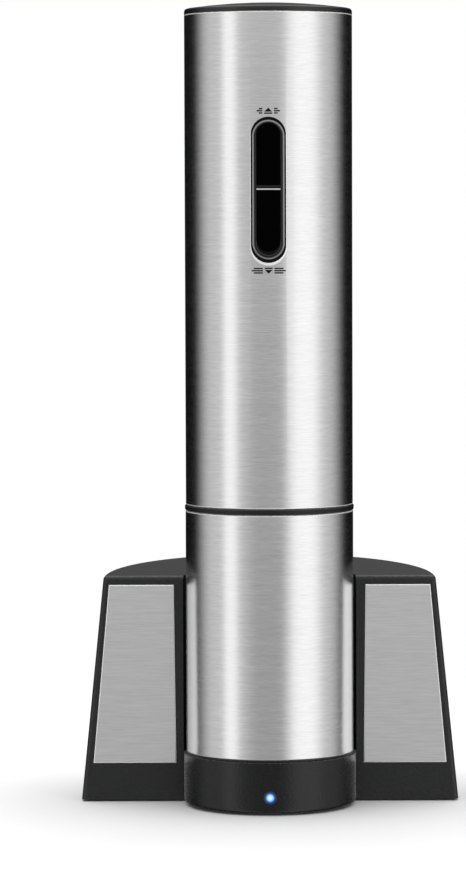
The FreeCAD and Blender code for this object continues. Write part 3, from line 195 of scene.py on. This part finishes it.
def panelSteel(name, edge, tone=0.82, roughness=0.32):
    # level scratches; the bevel round the plate carries a painted highlight, white and rough
    mat, tree, shader = newMaterial(name, (tone, tone, tone), roughness, 1.0)
    fine = objectNoise(tree, 1.0, (130, 130, 2600), 4.0, 0.6)
    color = ramp(tree, fine, [(0.3, tone * 0.93), (0.7, min(1.0, tone * 1.07))])
    # painted highlight: behind the front face the colour turns white, rough and hardly metal
    bevelHighlight = mathNode(tree, "GREATER_THAN", objectPlace(tree)["Y"], edge)
    rough = addNode(tree, "ShaderNodeMapRange", i0=bevelHighlight, i1=0.0, i2=1.0, i3=roughness, i4=0.8)
    metal = mathNode(tree, "SUBTRACT", 1.0, mathNode(tree, "MULTIPLY", bevelHighlight, 0.8))
    tree.links.new(mixTones(tree, bevelHighlight, color, 1.0), shader.inputs["Base Color"])
    tree.links.new(rough.outputs[0], shader.inputs["Roughness"])
    tree.links.new(metal, shader.inputs["Metallic"])
    addBump(tree, shader, fine, 0.1, 0.0002)
    return mat


def mouldedPlastic(name, color, roughness=0.5, grain=900.0, strength=0.25, mottle=0.12, shine=0.5, bloom=0.0):
    mat, tree, shader = newMaterial(name, color, roughness, Specular_IOR_Level=shine, Sheen_Weight=bloom)
    shader.inputs["Sheen Roughness"].default_value = 0.3
    cells = objectNoise(tree, grain, detail=2.0)
    low = tuple(c * (1 - mottle) for c in color)
    high = tuple(min(1.0, c * (1 + mottle)) for c in color)
    varyColor(tree, shader, cells, low, high)
    varyRoughness(tree, shader, cells, roughness * 0.9, min(1.0, roughness * 1.1))
    addBump(tree, shader, cells, strength, 0.0002)
    return mat


def plainMetal(name, color, roughness=0.35, grain=400.0):
    mat, tree, shader = newMaterial(name, color, roughness, 1.0)
    cells = objectNoise(tree, grain, detail=3.0)
    varyColor(tree, shader, cells, tuple(c * 0.88 for c in color), tuple(min(1.0, c * 1.08) for c in color))
    varyRoughness(tree, shader, cells, roughness * 0.8, roughness * 1.2)
    return mat


def glossPlastic(name, color, roughness=0.08):
    mat, tree, shader = newMaterial(name, color, roughness, Coat_Weight=0.6, Coat_Roughness=0.05)
    cells = objectNoise(tree, 60.0, detail=1.0)
    varyRoughness(tree, shader, cells, roughness * 0.8, roughness * 1.3)
    return mat


def bezelPaintedHighlights(name, middle, straight, radius):
    # a deep gloss rim with painted highlights: one soft light line near its outer edge and a thinner one
    # inside
    mat, tree, shader = newMaterial(name, (0.002, 0.002, 0.002), 0.2, Specular_IOR_Level=0.12)
    outside = slotDistance(tree, objectPlace(tree), middle, straight, radius)
    far = mathNode(tree, "ADD", mathNode(tree, "MULTIPLY", outside, 500.0), 1.0)
    # painted highlight rings: a lighter base colour at set distances inside the outline
    tone = ramp(tree, far, [
        (0.0, 0.002), (0.2, 0.004), (0.26, 0.07), (0.33, 0.012), (0.56, 0.02),
        (0.66, 0.2), (0.76, 0.34), (0.84, 0.2), (0.89, 0.004), (1.0, 0.0015),
    ])
    tree.links.new(tone, shader.inputs["Base Color"])
    return mat


def buttonPaintedHighlight(name, lit, reach, tone):
    # deep gloss black, with a painted highlight line along its edge at the split
    mat, tree, shader = newMaterial(name, (0.0005, 0.0005, 0.0005), 0.12, Specular_IOR_Level=0.015)
    # painted highlight: a band of lighter colour at the given height
    highlightBand = levelBand(tree, objectPlace(tree)["Z"], lit, reach)
    tree.links.new(mixTones(tree, highlightBand, 0.0005, tone), shader.inputs["Base Color"])
    return mat


def boardFinish(name):
    # green solder mask with faint copper tracks under it
    mat, tree, shader = newMaterial(name, (0.02, 0.13, 0.05), 0.3, Coat_Weight=0.4)
    place = tree.nodes.new("ShaderNodeTexCoord")
    brick = addNode(tree, "ShaderNodeTexBrick", Vector=place.outputs["Object"], Scale=260.0)
    brick.inputs["Color1"].default_value = (0.015, 0.12, 0.045, 1)
    brick.inputs["Color2"].default_value = (0.02, 0.15, 0.06, 1)
    brick.inputs["Mortar"].default_value = (0.04, 0.22, 0.08, 1)
    tree.links.new(brick.outputs["Color"], shader.inputs["Base Color"])
    return mat


def lampFinish(name):
    mat, tree, shader = newMaterial(name, (0.1, 0.3, 0.9), 0.2)
    shader.inputs["Emission Color"].default_value = (0.25, 0.55, 1.0, 1)
    shader.inputs["Emission Strength"].default_value = 2.0
    return mat


def lensFinish(name, height):
    # a bright blue-white middle that falls off to a deep blue ring
    mat, tree, shader = newMaterial(name, (0.01, 0.02, 0.06), 0.15)
    place = objectPlace(tree)
    up = mathNode(tree, "SUBTRACT", place["Z"], height)
    glow = ramp(tree, mathNode(tree, "MULTIPLY", flatDistance(tree, place["X"], up), 500.0), [
        (0.0, (0.5, 0.8, 1.0)), (0.22, (0.55, 0.85, 1.0)), (0.5, (0.2, 0.5, 0.95)), (0.66, (0.03, 0.09, 0.3)),
        (0.85, (0.004, 0.012, 0.05)),
    ])
    tree.links.new(glow, shader.inputs["Emission Color"])
    shader.inputs["Emission Strength"].default_value = 1.1
    return mat


lowSleeve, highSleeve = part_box("upper_sleeve")
lowSkirt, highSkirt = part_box("skirt_sleeve")
splitHeight = (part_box("lower_button")[1].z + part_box("upper_button")[0].z) / 2
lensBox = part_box("led_lens")
lensHeight = (lensBox[0].z + lensBox[1].z) / 2
# the slot in the sleeve and the rim inside it: middle, straight length and radius of the ends
slotOutline = {"middle": 0.19445, "straight": 0.03425, "radius": 0.005475}
rimOutline = {"middle": 0.195125, "straight": 0.03309, "radius": 0.00528}

finishes = {
    "blackPlastic": mouldedPlastic("blackPlastic", (0.009, 0.0095, 0.01), 0.42, 1300.0, 0.8, 0.2, 0.42),
    "collarPlastic": mouldedPlastic(
        "collarPlastic", (0.004, 0.0043, 0.0048), 0.26, 1300.0, 0.3, 0.2, 0.36, 0.3,
    ),
    "capPlastic": mouldedPlastic("capPlastic", (0.008, 0.0085, 0.009), 0.3, 1300.0, 0.3, 0.1, 0.45),
    "ringPlastic": mouldedPlastic("ringPlastic", (0.006, 0.006, 0.007), 0.4, 900.0, 0.1, 0.1, 0.3),
    # the sleeves' top and bottom edges and the slot's outline get painted highlights
    "sleeveSteel": brushedSteel(
        "sleeveSteel", highlightEdges=[(lowSleeve.z, 0.00042), (highSleeve.z, 0.00042)],
        highlightOutline=(slotOutline["middle"], slotOutline["straight"], slotOutline["radius"]),
    ),
    "skirtSteel": brushedSteel("skirtSteel", highlightEdges=[(lowSkirt.z, 0.0003), (highSkirt.z, 0.00042)]),
    "panelSteel": panelSteel("panelSteel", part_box("right_panel")[0].y + 0.00004),
    # the buttons carry painted highlight lines at their split
    "upperGloss": buttonPaintedHighlight("upperGloss", splitHeight + 0.0003, 0.00015, 0.06),
    "lowerGloss": buttonPaintedHighlight("lowerGloss", splitHeight - 0.0006, 0.0002, 0.6),
    "bezelGloss": bezelPaintedHighlights("bezelGloss", **rimOutline),
    "rubber": mouldedPlastic("rubberBlack", (0.03, 0.03, 0.03), 0.8, 700.0, 0.3, 0.15),
    "board": boardFinish("greenBoard"),
    "brass": plainMetal("brass", (0.72, 0.52, 0.22), 0.3),
    "copper": plainMetal("copper", (0.62, 0.26, 0.12), 0.35, 900.0),
    "zincSteel": plainMetal("zincSteel", (0.5, 0.5, 0.49), 0.38),
    "nickel": plainMetal("nickel", (0.66, 0.64, 0.58), 0.3),
    "darkCoat": plainMetal("darkCoat", (0.06, 0.06, 0.065), 0.3, 500.0),
    "magnet": mouldedPlastic("magnetBlack", (0.03, 0.03, 0.034), 0.6, 1400.0, 0.4, 0.3),
    "greyPlastic": mouldedPlastic("greyPlastic", (0.07, 0.07, 0.075), 0.5, 800.0, 0.15, 0.1),
    "palePlastic": mouldedPlastic("palePlastic", (0.72, 0.7, 0.62), 0.42, 500.0, 0.05, 0.04),
    "cellWrap": glossPlastic("cellWrap", (0.03, 0.12, 0.3), 0.22),
    "componentBlack": mouldedPlastic("componentBlack", (0.02, 0.02, 0.022), 0.4, 1600.0, 0.2, 0.1),
    "leadRed": mouldedPlastic("leadRed", (0.35, 0.02, 0.02), 0.45, 600.0, 0.05, 0.06),
    "lamp": lampFinish("lampBlue"),
    "lens": lensFinish("lensClear", lensHeight),
}

nodeFinish = {
    "base_shell": "blackPlastic", "base_collar": "collarPlastic", "base_plate": "blackPlastic",
    "base_screws": "zincSteel", "rubber_feet": "rubber",
    "right_panel": "panelSteel", "left_panel": "panelSteel", "charge_board": "board", "charge_studs": "brass",
    "status_led": "lamp", "led_lens": "lens", "jack_body": "componentBlack", "jack_pin": "nickel",
    "skirt_sleeve": "skirtSteel", "seam_ring": "ringPlastic", "upper_sleeve": "sleeveSteel",
    "top_cap": "capPlastic",
    "neck_guide": "blackPlastic", "contact_rings": "brass", "output_bush": "brass",
    "gearbox_cover": "greyPlastic", "ring_gear": "greyPlastic", "gearbox_screws": "zincSteel",
    "motor_mount": "zincSteel", "motor_can": "zincSteel",
    "motor_magnets": "magnet", "motor_end_cap": "greyPlastic", "motor_leads": "leadRed",
    "chassis_front": "greyPlastic", "chassis_rear": "greyPlastic", "chassis_screws": "zincSteel",
    "battery_cells": "cellWrap", "cell_links": "nickel", "control_board": "board",
    "power_parts": "componentBlack",
    "switch_bodies": "componentBlack", "button_bezel": "bezelGloss", "motor_shaft": "zincSteel",
    "armature": "zincSteel", "first_sun": "brass", "first_carrier": "palePlastic",
    "second_sun": "palePlastic",
    "output_carrier": "zincSteel", "chuck_pin": "zincSteel", "worm_chuck": "zincSteel", "worm": "darkCoat",
    "cork_clamp": "palePlastic", "clamp_spring": "zincSteel", "upper_button": "upperGloss",
    "lower_button": "lowerGloss", "upper_plunger": "palePlastic", "lower_plunger": "palePlastic",
}
for stage in ("first", "output"):
    for number in (1, 2, 3):
        nodeFinish[f"{stage}_planet_{number}"] = "palePlastic"

for name, obj in nodes.items():
    for slotPlace in obj.material_slots:
        slotPlace.material = finishes[nodeFinish[name]]
print("finishes set on", len(nodes), "nodes")


# ---- printed signs on the sleeve: generic arrows above and below the buttons

signs = {
    "radius": 0.02652, "thickness": 0.00006, "upper": 0.21947, "lower": 0.17006,
    "height": 0.0019, "upperWidth": 0.0072, "lowerWidth": 0.0106,
}


def signStrip(points, low, high, sink):
    # a flat outline wrapped round the sleeve's front as a thin closed plate
    verts, count = [], len(points)
    for depth in (low, high):
        for across, up in points:
            turn = across / signs["radius"]
            verts.append((depth * math.sin(turn), -depth * math.cos(turn), up))
    sink["verts"] += verts
    start = sink["start"]
    sink["faces"].append([start + i for i in reversed(range(count))])
    sink["faces"].append([start + count + i for i in range(count)])
    for i in range(count):
        k = (i + 1) % count
        sink["faces"].append([start + i, start + k, start + count + k, start + count + i])
    sink["start"] += 2 * count


def barPoints(middle, width, low, high):
    steps = 4
    under = [(middle - width / 2 + width * i / steps, low) for i in range(steps + 1)]
    over = [(across, high) for across, up in reversed(under)]
    return under + over


def trianglePoints(middle, width, low, high):
    if high > low:
        return [(middle - width / 2, low), (middle, low), (middle + width / 2, low), (middle, high)]
    return [(middle + width / 2, low), (middle, low), (middle - width / 2, low), (middle, high)]


def buildSigns():
    tall = signs["height"]
    low, high = signs["radius"], signs["radius"] + signs["thickness"]
    sink = {"verts": [], "faces": [], "start": 0}
    foot = signs["upper"] - tall / 2
    signStrip(barPoints(0, tall * 1.3, foot, foot + tall * 0.22), low, high, sink)
    signStrip(trianglePoints(0, tall * 1.3, foot + tall * 0.36, foot + tall), low, high, sink)
    top = signs["lower"] + tall / 2
    signStrip(barPoints(0, tall * 1.3, top - tall * 0.22, top), low, high, sink)
    signStrip(trianglePoints(0, tall * 1.3, top - tall * 0.36, top - tall), low, high, sink)
    for middle, width in ((signs["upper"], signs["upperWidth"]), (signs["lower"], signs["lowerWidth"])):
        inner = tall * 0.95
        for side in (-1, 1):
            for row in (-1, 0, 1):
                reach = width / 2 - abs(row) * tall * 0.35
                line = middle + row * tall * 0.36
                half = tall * 0.11
                bar = barPoints(side * (inner + reach) / 2, reach - inner, line - half, line + half)
                signStrip(bar, low, high, sink)
    mesh = bpy.data.meshes.new("printedSigns")
    mesh.from_pydata(sink["verts"], [], sink["faces"])
    obj = bpy.data.objects.new("printedSigns", mesh)
    bpy.context.collection.objects.link(obj)
    mesh.materials.append(mouldedPlastic("signInk", (0.004, 0.004, 0.004), 0.7, 2000.0, 0.05, 0.1, 0.1))
    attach(obj, "opener")
    print("signs:", len(mesh.polygons), "faces")


buildSigns()


# ---- copper windings between the poles of the motor's armature

windings = {
    "coils": 5, "turns": 9, "wire": 0.00032, "reach": 0.0083, "inset": 0.0048,
    "width": 0.0042, "share": 0.86, "seed": 4,
}


def windingNodes():
    tree = bpy.data.node_groups.new("windingNodes", "GeometryNodeTree")
    tree.interface.new_socket("Geometry", in_out="OUTPUT", socket_type="NodeSocketGeometry")
    kinds = {
        "Coils": "Int", "Turns": "Int", "Wire": "Float", "Length": "Float", "Width": "Float",
        "Inner": "Float", "Outer": "Float", "Seed": "Int", "Material": "Material",
    }
    for name, kind in kinds.items():
        tree.interface.new_socket(name, in_out="INPUT", socket_type="NodeSocket" + kind)
    given = tree.nodes.new("NodeGroupInput").outputs
    out = tree.nodes.new("NodeGroupOutput")
    # one turn: a rounded rectangle of wire, standing up and facing outwards
    loop = addNode(tree, "GeometryNodeCurvePrimitiveQuadrilateral")
    tree.links.new(given["Width"], loop.inputs["Width"])
    tree.links.new(given["Length"], loop.inputs["Height"])
    soft = addNode(tree, "GeometryNodeFilletCurve", Curve=loop.outputs[0])
    for socket in soft.inputs:
        if socket.name == "Radius":
            tree.links.new(mathNode(tree, "MULTIPLY", given["Width"], 0.3), socket)
        if socket.name in ("Count", "Segments") and socket.type == "INT":
            socket.default_value = 3
        if socket.name == "Mode":
            socket.default_value = "Poly"
    section = addNode(tree, "GeometryNodeCurvePrimitiveCircle", Resolution=6)
    tree.links.new(given["Wire"], section.inputs["Radius"])
    wire = addNode(tree, "GeometryNodeCurveToMesh", i0=soft.outputs[0])
    tree.links.new(section.outputs[0], wire.inputs["Profile Curve"])
    # turns side by side from the hub out to the rim, each a little unlike the next
    row = addNode(tree, "GeometryNodeMeshLine")
    row.mode = "END_POINTS"
    first = tree.nodes.new("ShaderNodeCombineXYZ")
    last = tree.nodes.new("ShaderNodeCombineXYZ")
    tree.links.new(given["Inner"], first.inputs[2])
    tree.links.new(given["Outer"], last.inputs[2])
    tree.links.new(given["Turns"], row.inputs["Count"])
    tree.links.new(first.outputs[0], row.inputs["Start Location"])
    tree.links.new(last.outputs[0], row.inputs["Offset"])
    chance = tree.nodes.new("FunctionNodeRandomValue")
    chance.data_type = "FLOAT"
    for socket in chance.inputs:
        if socket.enabled and socket.name == "Min":
            socket.default_value = 0.93
        if socket.enabled and socket.name == "Max":
            socket.default_value = 1.0
        if socket.name == "Seed":
            tree.links.new(given["Seed"], socket)
    size = [o for o in chance.outputs if o.enabled][0]
    coil = addNode(tree, "GeometryNodeInstanceOnPoints", Points=row.outputs[0], Instance=wire.outputs[0])
    tree.links.new(size, coil.inputs["Scale"])
    coilMesh = addNode(tree, "GeometryNodeRealizeInstances", i0=coil.outputs[0])
    tilt = addNode(tree, "GeometryNodeTransform", Geometry=coilMesh.outputs[0])
    tilt.inputs["Rotation"].default_value = (math.pi / 2, 0, 0)
    # the coils stand evenly round the shaft
    hub = addNode(tree, "GeometryNodeMeshCircle", Radius=0.0001)
    tree.links.new(given["Coils"], hub.inputs["Vertices"])
    number = tree.nodes.new("GeometryNodeInputIndex").outputs[0]
    angle = mathNode(tree, "MULTIPLY", mathNode(tree, "DIVIDE", number, given["Coils"]), 2 * math.pi)
    turn = tree.nodes.new("ShaderNodeCombineXYZ")
    tree.links.new(angle, turn.inputs[2])
    around = addNode(tree, "GeometryNodeInstanceOnPoints", Points=hub.outputs[0], Instance=tilt.outputs[0])
    tree.links.new(turn.outputs[0], around.inputs["Rotation"])
    whole = addNode(tree, "GeometryNodeRealizeInstances", i0=around.outputs[0])
    painted = addNode(tree, "GeometryNodeSetMaterial", Geometry=whole.outputs[0])
    tree.links.new(given["Material"], painted.inputs["Material"])
    tree.links.new(painted.outputs[0], out.inputs[0])
    return tree


def buildWindings():
    low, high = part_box("armature")
    middle = (low + high) / 2
    holder = bpy.data.objects.new("windingsHolder", bpy.data.meshes.new("windingsHolder"))
    bpy.context.collection.objects.link(holder)
    modifier = holder.modifiers.new("windings", "NODES")
    modifier.node_group = windingNodes()
    values = {
        "Coils": windings["coils"], "Turns": windings["turns"], "Wire": windings["wire"],
        "Length": (high.z - low.z) * windings["share"], "Width": windings["width"],
        "Inner": -windings["inset"], "Outer": -windings["reach"], "Seed": windings["seed"],
        "Material": finishes["copper"],
    }
    for item in modifier.node_group.interface.items_tree:
        if item.in_out == "INPUT" and item.name in values:
            modifier[item.identifier] = values[item.name]
    view = bpy.context.evaluated_depsgraph_get()
    mesh = bpy.data.meshes.new_from_object(holder.evaluated_get(view))
    bpy.data.objects.remove(holder)
    for vertex in mesh.vertices:
        vertex.co.z += middle.z
    mesh.name = "windings"
    obj = bpy.data.objects.new("windings", mesh)
    bpy.context.collection.objects.link(obj)
    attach(obj, "motor_rotor")
    print("windings:", len(mesh.polygons), "faces")


buildWindings()


# ---- the clamp's spring, which shortens as the clamp rises on the real opener; here a copy of the part with its doubled points merged


def buildSpring():
    obj = nodes["clamp_spring"].copy()
    obj.name = "springCoil"
    obj.data = nodes["clamp_spring"].data.copy()
    bpy.context.collection.objects.link(obj)
    world = obj.matrix_world.copy()
    obj.parent = None
    obj.matrix_world = world
    work = bmesh.new()
    work.from_mesh(obj.data)
    bmesh.ops.remove_doubles(work, verts=work.verts, dist=1e-6)
    work.to_mesh(obj.data)
    work.free()
    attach(obj, "opener")
    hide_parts("clamp_spring")
    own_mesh(obj)


buildSpring()


# ---- studio: a pale floor, a soft surround and a broad light above

studio = {
    "floorTone": 0.88,
    "floorReach": 0.42,
    "topPower": 14.0,
    "topSize": 1.6,
    "topPlace": (0, 0.55, 1.35),
    "topTurn": 22,
    "surroundLight": 1.0,
    "overhead": 1.0,
    "wallTone": 0.7,
}

# parts of the surround, in degrees of bearing: 0 is the camera's side, positive is to its right
panels = {
    "leftFlag": {"middle": -145, "half": 20, "edge": 40, "tone": 0.0},
    "rightFlag": {"middle": 145, "half": 15, "edge": 45, "tone": 0.0},
    "front": {"middle": 0, "half": 15, "edge": 30, "tone": 0.4, "onlyBelow": True},
    "leftPanel": {"middle": -55, "half": 5, "edge": 10, "tone": 1.3},
    "rightPanel": {"middle": 50, "half": 10, "edge": 25, "tone": 1.3},
}


def buildFloor():
    bpy.ops.mesh.primitive_circle_add(vertices=96, radius=studio["floorReach"], fill_type="NGON")
    floor = bpy.context.object
    floor.name = "floor"
    mat, tree, shader = newMaterial("floorWhite", (studio["floorTone"],) * 3, 0.9)
    shader.inputs["Specular IOR Level"].default_value = 0.0
    place = tree.nodes.new("ShaderNodeTexCoord")
    reach = addNode(tree, "ShaderNodeVectorMath", i0=place.outputs["Object"])
    reach.operation = "LENGTH"
    # painted shadow: the floor's colour greys a little round the foot of the base
    outward = mathNode(tree, "MULTIPLY", reach.outputs["Value"], 8.0)
    paintedShadow = ramp(tree, outward, [(0.2, 0.8), (0.5, 0.9), (0.9, 1.0)])
    tree.links.new(mathNode(tree, "MULTIPLY", paintedShadow, studio["floorTone"]), shader.inputs["Base Color"])
    edge = studio["floorReach"] * 0.9
    fade = addNode(tree, "ShaderNodeMapRange", i0=reach.outputs["Value"], i1=0.12, i2=edge, i3=1.0, i4=0.0)
    fade.interpolation_type = "SMOOTHSTEP"
    tree.links.new(fade.outputs[0], shader.inputs["Alpha"])
    floor.data.materials.append(mat)
    floor.visible_glossy = False


def buildSurround():
    # plain white to the camera; reflections see pale walls with bright panels, dark flags and a dim front
    world = bpy.data.worlds.new("surround")
    bpy.context.scene.world = world
    world.use_nodes = True
    tree = world.node_tree
    tree.nodes.clear()
    out = tree.nodes.new("ShaderNodeOutputWorld")
    place = tree.nodes.new("ShaderNodeTexCoord")
    parts = addNode(tree, "ShaderNodeSeparateXYZ", i0=place.outputs["Generated"])
    back = mathNode(tree, "MULTIPLY", parts.outputs["Y"], -1.0)
    turn = mathNode(tree, "ARCTAN2", parts.outputs["X"], back)
    bearing = mathNode(tree, "DEGREES", turn)
    below = addNode(tree, "ShaderNodeMapRange", i0=parts.outputs["Z"], i1=-0.05, i2=0.05, i3=1.0, i4=0.0)
    walls = studio["wallTone"]
    for panel in panels.values():
        away = mathNode(tree, "PINGPONG", mathNode(tree, "SUBTRACT", bearing, panel["middle"]), 180.0)
        reach = panel["half"] + panel["edge"]
        cover = addNode(tree, "ShaderNodeMapRange", i0=away, i1=panel["half"], i2=reach, i3=1.0, i4=0.0)
        cover.interpolation_type = "SMOOTHSTEP"
        share = cover.outputs[0]
        if panel.get("onlyBelow"):
            share = mathNode(tree, "MULTIPLY", share, below.outputs[0])
        walls = mixTones(tree, share, walls, panel["tone"])
    above = addNode(tree, "ShaderNodeMapRange", i0=parts.outputs["Z"], i1=0.35, i2=0.75, i3=0.0, i4=1.0)
    whole = mixTones(tree, above.outputs[0], walls, studio["overhead"])
    seen = addNode(tree, "ShaderNodeBackground", Color=(1, 1, 1, 1), Strength=1.0)
    light = addNode(tree, "ShaderNodeBackground", Color=whole, Strength=studio["surroundLight"])
    ray = tree.nodes.new("ShaderNodeLightPath")
    choice = addNode(tree, "ShaderNodeMixShader", i1=light.outputs[0], i2=seen.outputs[0])
    tree.links.new(ray.outputs["Is Camera Ray"], choice.inputs[0])
    tree.links.new(choice.outputs[0], out.inputs[0])


def buildTopLight():
    data = bpy.data.lights.new("topPanel", "AREA")
    data.shape = "SQUARE"
    data.size = studio["topSize"]
    data.energy = studio["topPower"]
    lamp = bpy.data.objects.new("topPanel", data)
    lamp.location = studio["topPlace"]
    lamp.rotation_euler = (math.radians(studio["topTurn"]), 0, 0)
    bpy.context.collection.objects.link(lamp)


def buildCamera():
    view = {
        "lens": 161.09, "distance": 1.24607, "height": 0.18527,
        "pitch": 3.1716, "shift": -0.04113, "roll": -0.165,
    }
    data = bpy.data.cameras.new("camera")
    data.lens = view["lens"]
    data.sensor_width = 36
    data.shift_x = view["shift"]
    data.clip_end = 50
    camera = bpy.data.objects.new("camera", data)
    tilt = Matrix.Rotation(math.radians(90 - view["pitch"]), 4, "X")
    roll = Matrix.Rotation(math.radians(view["roll"]), 4, "Z")
    camera.matrix_world = Matrix.Translation((0, -view["distance"], view["height"])) @ tilt @ roll
    bpy.context.collection.objects.link(camera)
    bpy.context.scene.camera = camera


buildFloor()
buildSurround()
buildTopLight()
buildCamera()
bpy.context.scene.view_settings.view_transform = "Standard"
print("studio built")
